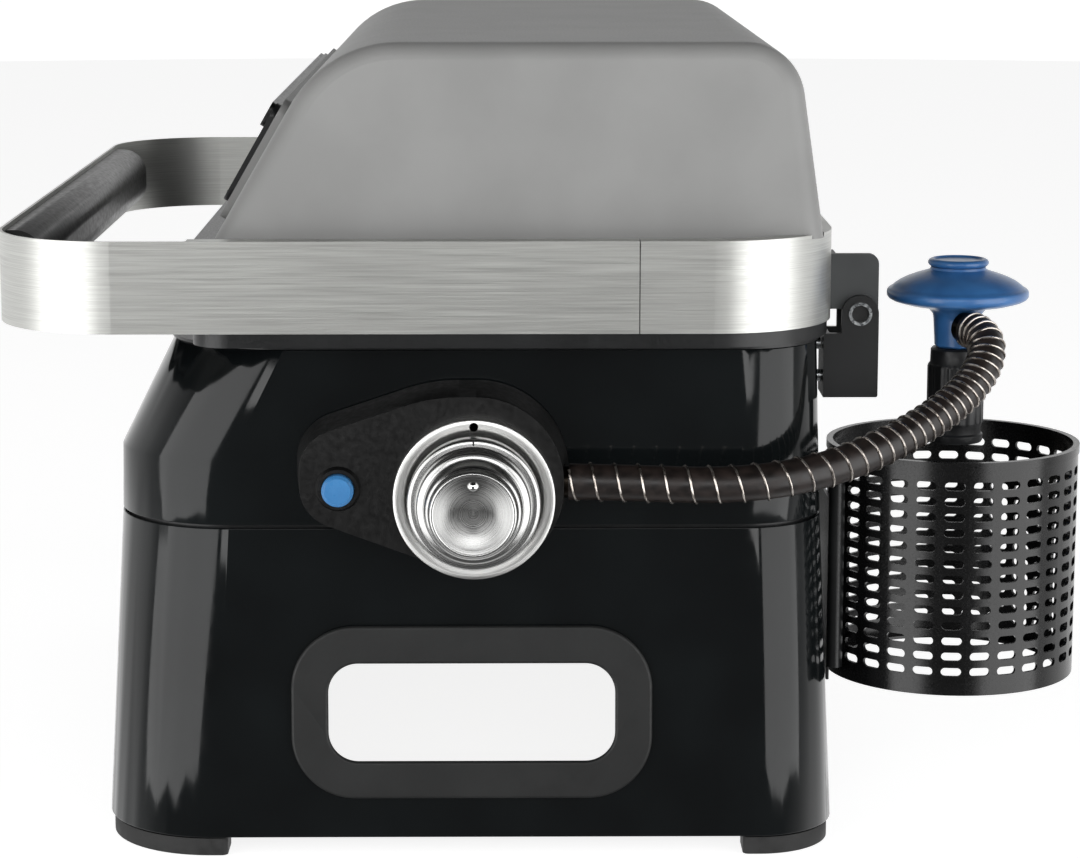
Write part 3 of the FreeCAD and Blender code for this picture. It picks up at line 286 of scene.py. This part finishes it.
enamel = vitreous_enamel()
lid_coat = powder_coat_grey()
stainless = brushed_stainless()
steel_black = powder_coat_black("powder_coat_black", "#0f1011", "#191a1b", 0.36)
steel_hinge = powder_coat_black("powder_coat_hinge", "#0c0d0e", "#141516", 0.42)
leaf_coat = powder_coat_black("powder_coat_leaf_grey", "#343637", "#3d3f40", 0.45)
basket_coat = powder_coat_black("powder_coat_basket", "#060606", "#0d0d0e", 0.24)
plastic = moulded_abs("moulded_abs_black", "#080808", "#0d0d0d", 0.36)
ring_plastic = moulded_abs("moulded_abs_charcoal", "#131414", "#191a1a", 0.55)
nut_plastic = moulded_abs("moulded_nylon_black", "#101112", "#1b1c1e", 0.4)
button_plastic = moulded_abs("moulded_abs_blue", "#2f6ea6", "#3f80b8", 0.3)
bezel_steel = turned_metal("turned_bezel_steel", KNOB_Y, KNOB_Z, "#d0d0ce", "#e2e2e0", 0.34, 0.44, 0.5, 0.85)
knob_steel = turned_metal("turned_knob_steel", KNOB_Y, KNOB_Z, "#a9a9a8", "#c4c4c3", 0.16, 0.3, 0.6, 0.6)
dish_steel = turned_metal("turned_dish_steel", KNOB_Y, KNOB_Z, "#8d8d8c", "#a6a6a5", 0.22, 0.34, 0.4, 0.85)
ball_chrome = turned_metal("polished_ball_chrome", KNOB_Y, KNOB_Z, "#dcdcdb", "#e8e8e7", 0.06, 0.12, 0.4)
zinc = zinc_plate()
aluminised = aluminised_sheet()
iron = cast_iron()
brass = brass_finish("machined_brass", "#9c7f42", "#c4a45c")
dark_brass = brass_finish("blackened_brass", "#1c1916", "#2c2722")
glass = toughened_glass()
rubber = hose_rubber()
wire_steel = drawn_wire()
blue_enamel = gloss_enamel("gloss_enamel_blue", "#2c5c92", "#356aa3")
# Black for the printed marks; the same material is also put in the hinge pins' bores as painted shade.
print_and_shade_black = moulded_abs("printed_mark_and_painted_shade_black", "#111111", "#161616", 0.4)
pad_rubber = foot_rubber()
ceramic = glazed_ceramic()

FINISHES = {
    enamel: ["lower_housing", "upper_housing"],
    lid_coat: ["lid_shell", "door_frame"],
    leaf_coat: ["hinge_leaf_right", "hinge_leaf_left"],
    stainless: ["band_front", "band_rear"],
    steel_black: ["middle_frame", "lid_frame", "fire_bowl", "tray_rails", "basket_rail", "door_panel"],
    steel_hinge: ["hinge_base_right", "hinge_base_left"],
    basket_coat: ["cylinder_basket"],
    plastic: ["console", "handle_grip", "door_handle", "igniter_bezel", "igniter_module"],
    ring_plastic: ["hand_bezel_right", "hand_bezel_left"],
    pad_rubber: ["foot_front_right", "foot_front_left", "foot_rear_right", "foot_rear_left"],
    zinc: ["foot_screws", "base_screws", "leaf_screws", "band_rivets", "door_pin", "door_knuckles",
           "hinge_pin_right", "hinge_pin_left", "valve_stem"],
    aluminised: ["burner_tube", "burner_brackets", "heat_plates", "grease_tray", "tray_pull"],
    iron: ["grate_left", "grate_right"],
    brass: ["valve_body", "gas_inlet"],
    dark_brass: ["hose_ferrule_valve", "hose_ferrule_regulator"],
    glass: ["door_glass"],
    bezel_steel: ["knob_bezel"],
    knob_steel: ["knob_skirt", "knob_cap"],
    ball_chrome: ["knob_marker"],
    button_plastic: ["igniter_button"],
    ceramic: ["spark_electrode"],
    blue_enamel: ["regulator_bonnet", "regulator_cap", "regulator_body"],
    nut_plastic: ["regulator_nut"],
    rubber: ["gas_hose"],
}


def dress_cad_nodes():
    """Give every CAD node its finish."""
    for mat, names in FINISHES.items():
        for name in names:
            mesh = nodes[name].data
            mesh.materials.clear()
            mesh.materials.append(mat)


def soften(name, width_mm, segments=3, angle=40):
    """Break a CAD node's hard edges with a small round."""
    weld = nodes[name].modifiers.new("Weld", "WELD")
    weld.merge_threshold = 0.01 * MM
    edge = nodes[name].modifiers.new("Edge", "BEVEL")
    edge.width = width_mm * MM
    edge.segments = segments
    edge.limit_method = "ANGLE"
    edge.angle_limit = math.radians(angle)
    edge.harden_normals = True
    edge.use_clamp_overlap = True


# ---- mesh pieces -----------------------------------------------------------------------------------------
def piece(name, mesh_or_bm, mat, body):
    """Put a mesh in the scene as a piece that rides on a body."""
    if isinstance(mesh_or_bm, bmesh.types.BMesh):
        bmesh.ops.recalc_face_normals(mesh_or_bm, faces=mesh_or_bm.faces)
        mesh = bpy.data.meshes.new(name)
        mesh_or_bm.to_mesh(mesh)
        mesh_or_bm.free()
    else:
        mesh = mesh_or_bm
    thing = bpy.data.objects.new(name, mesh)
    bpy.context.scene.collection.objects.link(thing)
    mesh.materials.append(mat)
    mesh.polygons.foreach_set("use_smooth", [True] * len(mesh.polygons))
    mesh.set_sharp_from_angle(angle=SHARP_ANGLE)
    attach(thing, body)
    return thing


def axis_turn(axis):
    """The matrix that takes +Z to an axis."""
    return Vector((0, 0, 1)).rotation_difference(Vector(axis)).to_matrix().to_4x4()


def lathe(profile, at, axis, steps=96, ripple=None, closed=True):
    """Turn (distance along the axis, radius) points, in millimetres, about an axis through a point."""
    bm = bmesh.new()
    rows = []
    for along, radius in profile:
        row = []
        for i in range(steps):
            angle = 2 * math.pi * i / steps
            reach = radius + (ripple(along, radius, angle) if ripple else 0)
            row.append(bm.verts.new((reach * MM * math.cos(angle), reach * MM * math.sin(angle), along * MM)))
        rows.append(row)
    for lower, upper in zip(rows, rows[1:]):
        for i in range(steps):
            bm.faces.new((lower[i], lower[(i + 1) % steps], upper[(i + 1) % steps], upper[i]))
    if closed:
        bm.faces.new(rows[0][::-1])
        bm.faces.new(rows[-1])
    else:
        for i in range(steps):
            bm.faces.new((rows[-1][i], rows[-1][(i + 1) % steps], rows[0][(i + 1) % steps], rows[0][i]))
    bm.transform(Matrix.Translation(Vector(at)) @ axis_turn(axis))
    return bm


def make_knob():
    """The stepped knob: a wide skirt, two turned steps and a dished face with a ball marker."""
    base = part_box("knob_skirt")[0].x
    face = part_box("knob_cap")[1].x
    high = (face - base) / MM
    centre = (base, KNOB_Y, KNOB_Z)
    steps = [(0, 24.0), (0, 30.2), (0.6, 31.0), (7.0, 31.0), (7.7, 30.7), (8.1, 30.0), (8.3, 28.8),
             (8.5, 27.6), (9.2, 27.0), (9.8, 26.8), (15.4, 26.4), (16.2, 26.0), (16.7, 25.2), (16.9, 24.2),
             (17.2, 23.4), (17.9, 23.0), (high - 6.0, 22.2), (high - 5.4, 21.8), (high - 4.9, 21.0),
             (high - 1.4, 20.3), (high - 0.4, 19.9), (high, 19.3), (high, 18.7), (high - 0.3, 18.3)]
    whole = piece("knob_turned", lathe(steps, centre, (1, 0, 0), 128, closed=False), knob_steel, "knob")
    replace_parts(whole, "knob_skirt")
    dish_radius, depth = 18.4, 3.6
    dish = [(high - 8, dish_radius - 0.8), (high - 0.3, dish_radius)]
    for i in range(12, -1, -1):
        part = i / 12
        dish.append((high - 0.4 - depth * (1 - part ** 2), max(dish_radius * part * 0.98, 0.02)))
    hollow = piece("knob_dish", lathe(dish, centre, (1, 0, 0), 96), dish_steel, "knob")
    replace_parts(hollow, "knob_cap")
    ball_at = Vector((face - 3.0 * MM, KNOB_Y, KNOB_Z + 13.0 * MM))
    ball = [(2.9 * math.sin(math.pi * (i / 16 - 0.5)), max(2.9 * math.cos(math.pi * (i / 16 - 0.5)), 0.01))
            for i in range(17)]
    marker = piece("knob_ball", lathe(ball, ball_at, (1, 0, 0), 32), ball_chrome, "knob")
    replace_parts(marker, "knob_marker")
    line = bmesh.new()
    bmesh.ops.create_cube(line, size=1.0)
    line.transform(Matrix.Translation((base + 8.2 * MM, KNOB_Y, KNOB_Z + 29.4 * MM))
                   @ Matrix.Diagonal((0.5 * MM, 0.8 * MM, 2.6 * MM, 1)))
    piece("knob_line", line, print_and_shade_black, "knob")


def make_bezel():
    """The knob's steel surround with its printed index mark."""
    low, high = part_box("knob_bezel")
    deep = (high.x - low.x) / MM
    profile = [(0, 34.0), (0, 38.0), (deep - 0.9, 38.0), (deep - 0.3, 37.8), (deep, 37.3), (deep, 32.3),
               (deep - 0.3, 31.9), (deep - 3.4, 31.6), (deep - 4.0, 30.6), (deep - 4.0, 13.0), (0, 13.0)]
    ring = lathe(profile, (low.x, KNOB_Y, KNOB_Z), (1, 0, 0), 128, closed=False)
    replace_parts(piece("bezel_turned", ring, bezel_steel, "housing"), "knob_bezel")
    mark = Vector((high.x - 0.3 * MM, KNOB_Y, KNOB_Z + 34.6 * MM))
    dot = lathe([(0, 2.3), (0.25, 2.3), (0.3, 2.1)], mark, (1, 0, 0), 40)
    piece("index_dot", dot, print_and_shade_black, "housing")


# Edge rounds: width in millimetres, segments and, for the console's shallow corners, the least angle.
EDGE_ROUNDS = {
    "console": (4.0, 5, 30),
    "lower_housing": (0.5, 2),
    "upper_housing": (0.5, 2),
    "hand_bezel_right": (1.6, 3),
    "hand_bezel_left": (1.6, 3),
    "foot_front_right": (1.2, 2),
    "foot_front_left": (1.2, 2),
    "foot_rear_right": (1.2, 2),
    "foot_rear_left": (1.2, 2),
    "igniter_button": (0.6, 3),
    "door_handle": (0.8, 3),
    "door_frame": (1.4, 3),
    "door_panel": (0.7, 2),
    "handle_grip": (1.2, 3),
    "grate_left": (0.9, 2),
    "grate_right": (0.9, 2),
}


def round_edges():
    """Round the edges that moulding, pressing or casting leaves rounded."""
    for name, settings in EDGE_ROUNDS.items():
        soften(name, *settings)


# ---- gas line --------------------------------------------------------------------------------------------
# The hose's route in the design frame, in millimetres, and the footprint centre that the frame leaves out.
# The wire's middle stands WIRE_SEAT outside the rubber. Its pitch closes up over a share of the length.
CENTRE = Vector((29.3, 18.3, 0))
HOSE_ROUTE = [(283.4, 26.4, 189.5), (285.5, 58, 189.2), (287.6, 94, 188.2), (284.0, 127, 190.0),
              (273.0, 156, 195.0), (257.0, 181, 202.2), (243.0, 203, 211.6), (230.5, 221.0, 222.6),
              (219.5, 232.3, 236.0), (207.5, 233.4, 247.4), (195.5, 227.0, 248.6)]
HOSE_RADIUS = 8.6
WIRE_RADIUS = 0.6
WIRE_SEAT = 0.25
WIRE_STEPS = 1500
WIDE_PITCH = 11.2
CLOSE_PITCH = 4.4
CLOSING_FROM = 0.3
CLOSING_OVER = 0.55
FIRST_TURN = 0.6


def hose_points():
    """The hose's route in the frame's own metres."""
    return [(Vector(point) - CENTRE) * MM for point in HOSE_ROUTE]


def spline_through(name, points):
    """One smooth line with the route's points as its control points."""
    curve = bpy.data.curves.new(name, "CURVE")
    curve.dimensions = "3D"
    curve.resolution_u = 16
    line = curve.splines.new("NURBS")
    line.points.add(len(points) - 1)
    for control, point in zip(line.points, points):
        control.co = (*point, 1.0)
    line.order_u = 3
    line.use_endpoint_u = True
    return curve


def line_points(name, points):
    """Points along the smooth line, read from the curve itself."""
    bare = bpy.data.objects.new(name, spline_through(name, points))
    bpy.context.scene.collection.objects.link(bare)
    bpy.context.view_layer.update()
    mesh = bpy.data.meshes.new_from_object(bare)
    found = [v.co.copy() for v in mesh.vertices]
    bpy.data.objects.remove(bare)
    return found


def even_frames(path, count):
    """Evenly spaced points with a frame that doesn't twist: (point, tangent, side)."""
    gaps = [(b - a).length for a, b in zip(path, path[1:])]
    total = sum(gaps)
    found = []
    side = Vector((0, 0, 1))
    index, passed = 0, 0.0
    for i in range(count + 1):
        want = total * i / count
        while index < len(gaps) - 1 and passed + gaps[index] < want:
            passed += gaps[index]
            index += 1
        part = min(max((want - passed) / gaps[index], 0), 1)
        point = path[index].lerp(path[index + 1], part)
        ahead = path[min(index + 2, len(path) - 1)] - path[max(index - 1, 0)]
        tangent = ahead.normalized()
        side = (side - tangent * side.dot(tangent)).normalized()
        found.append((point, tangent, side.copy()))
    return found, total


def sweep(frames, radius_at, ring_steps):
    """A closed round tube along frames."""
    bm = bmesh.new()
    rows = []
    for i, (point, tangent, side) in enumerate(frames):
        across = tangent.cross(side)
        radius = radius_at(i / (len(frames) - 1))
        rows.append([bm.verts.new(point + (side * math.cos(a) + across * math.sin(a)) * radius)
                     for a in (2 * math.pi * k / ring_steps for k in range(ring_steps))])
    for lower, upper in zip(rows, rows[1:]):
        for k in range(ring_steps):
            bm.faces.new((lower[k], lower[(k + 1) % ring_steps], upper[(k + 1) % ring_steps], upper[k]))
    bm.faces.new(rows[0][::-1])
    bm.faces.new(rows[-1])
    return bm


def make_hose():
    """The rubber hose and the spring wire wound round it, its turns closing up towards the regulator."""
    points = hose_points()
    curve = spline_through("gas_hose_rubber", points)
    curve.bevel_depth = HOSE_RADIUS * MM
    curve.bevel_resolution = 10
    curve.use_fill_caps = True
    hose = bpy.data.objects.new("gas_hose_rubber", curve)
    bpy.context.scene.collection.objects.link(hose)
    curve.materials.append(rubber)
    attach(hose, "housing")
    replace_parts(hose, "gas_hose")

    frames, total = even_frames(line_points("hose_line", points), WIRE_STEPS)
    wide_pitch, close_pitch = WIDE_PITCH * MM, CLOSE_PITCH * MM
    wound = []
    turn = FIRST_TURN
    step = total / WIRE_STEPS
    for i, (point, tangent, side) in enumerate(frames):
        part = i / WIRE_STEPS
        closing = min(max((part - CLOSING_FROM) / CLOSING_OVER, 0), 1)
        pitch = wide_pitch + (close_pitch - wide_pitch) * closing * closing * (3 - 2 * closing)
        turn += 2 * math.pi * step / pitch
        across = tangent.cross(side)
        outward = side * math.cos(turn) + across * math.sin(turn)
        wound.append(point + outward * (HOSE_RADIUS + WIRE_SEAT) * MM)
    wire_frames = []
    for i, point in enumerate(wound):
        ahead = (wound[min(i + 1, len(wound) - 1)] - wound[max(i - 1, 0)]).normalized()
        lift = (point - frames[i][0]).normalized()
        lift = (lift - ahead * lift.dot(ahead)).normalized()
        wire_frames.append((point, ahead, lift))
    wire = piece("hose_wire", sweep(wire_frames, lambda part: WIRE_RADIUS * MM, 8), wire_steel, "housing")
    make_regulator()


def make_regulator():
    """The bottle regulator: pressed bonnet, vent cap, faceted neck and a ribbed bottle nut."""
    low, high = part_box("regulator_bonnet")
    middle = (low + high) / 2
    axis_low = Vector((middle.x, middle.y, 0))
    dome = [(258.6, 8), (258.6, 22), (259.4, 27), (261.0, 32.6), (262.0, 34.4), (263.2, 35.3), (265.0, 35.4),
            (266.2, 35.1), (267.0, 34.3), (267.4, 33.2), (268.6, 32.0), (270.6, 29.2), (272.4, 25.6),
            (274.0, 21.4), (275.2, 17.6), (276.0, 15.2), (276.7, 14.0), (277.9, 13.6), (277.9, 4)]
    bonnet = piece("regulator_dome", lathe(dome, axis_low, (0, 0, 1), 128), blue_enamel, "housing")
    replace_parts(bonnet, "regulator_bonnet")
    rim = [(278.0, 6), (278.0, 13.4), (278.6, 14.4), (279.5, 15.1), (280.5, 15.1), (281.4, 14.5),
           (281.9, 13.6), (281.9, 12.6), (281.1, 11.8), (280.9, 6)]
    cap = piece("regulator_vent_cap", lathe(rim, axis_low, (0, 0, 1), 96), blue_enamel, "housing")
    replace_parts(cap, "regulator_cap")

    def flats(along, radius, angle):
        """Six shallow flats round the lower part of the neck."""
        return -0.9 * abs(math.sin(3 * angle)) if along < 251 else 0

    neck = [(237.5, 6), (237.5, 10.8), (238.4, 11.8), (251.4, 11.8), (254.0, 12.2), (256.8, 14.6),
            (257.8, 17.0), (258.3, 17.0), (258.3, 6)]
    stem = piece("regulator_neck", lathe(neck, axis_low, (0, 0, 1), 96, flats), blue_enamel, "housing")
    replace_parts(stem, "regulator_body")

    def ribs(along, radius, angle):
        """Eighteen grip ribs round the nut's outer wall."""
        ribbed = 199.5 < along < 228
        return 0.45 * max(0.0, math.cos(18 * angle)) - 0.2 if ribbed and radius > 13.5 else 0

    nut_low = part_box("regulator_nut")[0].z / MM
    nut = [(nut_low + 0.1, 12.2), (nut_low + 0.1, 13.4), (nut_low + 1.2, 14.1), (nut_low + 4, 14.1),
           (nut_low + 4.8, 13.2), (197.6, 13.2), (199.0, 13.9), (199.6, 14.0), (227.4, 14.0), (228.6, 13.8),
           (229.6, 13.0), (236.2, 12.8), (237.1, 12.0), (237.1, 5), (nut_low + 34, 5), (nut_low + 34, 12.0)]
    hand_nut = piece("regulator_hand_nut", lathe(nut, axis_low, (0, 0, 1), 144, ribs, closed=False),
                     nut_plastic, "housing")
    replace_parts(hand_nut, "regulator_nut")
    return [bonnet, cap, stem, hand_nut]


def make_pin_bores():
    """Painted shade inside each tubular hinge pin: a dark plug, set back from its ends, fills the bore."""
    for side in ("right", "left"):
        low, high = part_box("hinge_pin_" + side)
        middle = (low + high) / 2
        length = (high.x - low.x) / MM
        # A dark plug as painted shade in the pin's bore.
        bore_shade = lathe([(2, 0.02), (2, 4.1), (length - 2, 4.1), (length - 2, 0.02)],
                     (low.x, middle.y, middle.z), (1, 0, 0), 32)
        piece("hinge_pin_bore_shade_" + side, bore_shade, print_and_shade_black, "housing")


dress_cad_nodes()
round_edges()
make_knob()
make_bezel()
make_hose()
make_pin_bores()


# ---- studio ----------------------------------------------------------------------------------------------
def make_studio():
    """A pale floor, a soft sky that is dimmer overhead, and large side and front lights."""
    world = bpy.data.worlds.new("studio_sky")
    bpy.context.scene.world = world
    world.use_nodes = True
    tree = world.node_tree
    where = add(tree, "ShaderNodeTexCoord")
    parts = add(tree, "ShaderNodeSeparateXYZ", {"Vector": (where, "Generated")})
    height = add(tree, "ShaderNodeMapRange", {"Value": (parts, "Z"), "From Min": 0.12, "From Max": 0.7,
                                              "To Min": 1.0, "To Max": 0.05})
    front = add(tree, "ShaderNodeMapRange", {"Value": (parts, "X"), "From Min": -0.25, "From Max": 0.45,
                                             "To Min": 1.05, "To Max": 0.14})
    level = add(tree, "ShaderNodeMath", {0: (height, "Result"), 1: (front, "Result")}, operation="MULTIPLY")
    tree.links.new(level.outputs["Value"], tree.nodes["Background"].inputs["Strength"])
    tree.nodes["Background"].inputs["Color"].default_value = (1.0, 1.0, 1.0, 1.0)

    bpy.ops.mesh.primitive_circle_add(vertices=96, radius=6.0, fill_type="NGON", location=(0, 0, -0.0005))
    floor = bpy.context.object
    floor.name = "studio_floor"
    mat, floor_tree, shader = finish("matt_floor_paint", Base_Color=(0.5, 0.5, 0.5, 1.0), Roughness=0.9,
                                     Specular_IOR_Level=0.0, Emission_Color=(1.0, 1.0, 1.0, 1.0),
                                     Emission_Strength=0.85)
    floor.data.materials.append(mat)
    floor.visible_glossy = False

    def panel(name, at, aim, width, height, watts):
        """A rectangular soft light that looks at a point."""
        light = bpy.data.lights.new(name, "AREA")
        light.shape = "RECTANGLE"
        light.size = width
        light.size_y = height
        light.energy = watts
        lamp = bpy.data.objects.new(name, light)
        lamp.location = at
        lamp.rotation_euler = (Vector(aim) - Vector(at)).to_track_quat("-Z", "Y").to_euler()
        bpy.context.scene.collection.objects.link(lamp)

    panel("front_left_panel", (1.45, -1.75, 0.2), (0, 0, 0.2), 2.2, 2.6, 50)
    panel("front_right_panel", (1.45, 1.75, 0.2), (0, 0, 0.2), 2.2, 2.6, 50)
    panel("camera_side_panel", (2.4, 0.0, 0.9), (0, 0, 0.25), 1.6, 0.5, 10)


# The viewing position in the design frame, in millimetres, and its turns in degrees.
CAMERA_AT = Vector((1716.16, 0, 477.69))
CAMERA_DOWN = 10.4
CAMERA_ASIDE = 0.505
LENS_MM = 103.26
SENSOR_MM = 36.0


def make_camera():
    """Looks at the control side from 1.7 m, from a little above the lid."""
    camera_data = bpy.data.cameras.new("camera")
    camera_data.sensor_width = SENSOR_MM
    camera_data.lens = LENS_MM
    camera = bpy.data.objects.new("camera", camera_data)
    camera.location = (CAMERA_AT - CENTRE) * MM
    camera.rotation_euler = (math.radians(90 - CAMERA_DOWN), 0, math.radians(90 - CAMERA_ASIDE))
    bpy.context.scene.collection.objects.link(camera)
    bpy.context.scene.camera = camera


make_studio()
make_camera()
bpy.context.scene.view_settings.view_transform = "Standard"
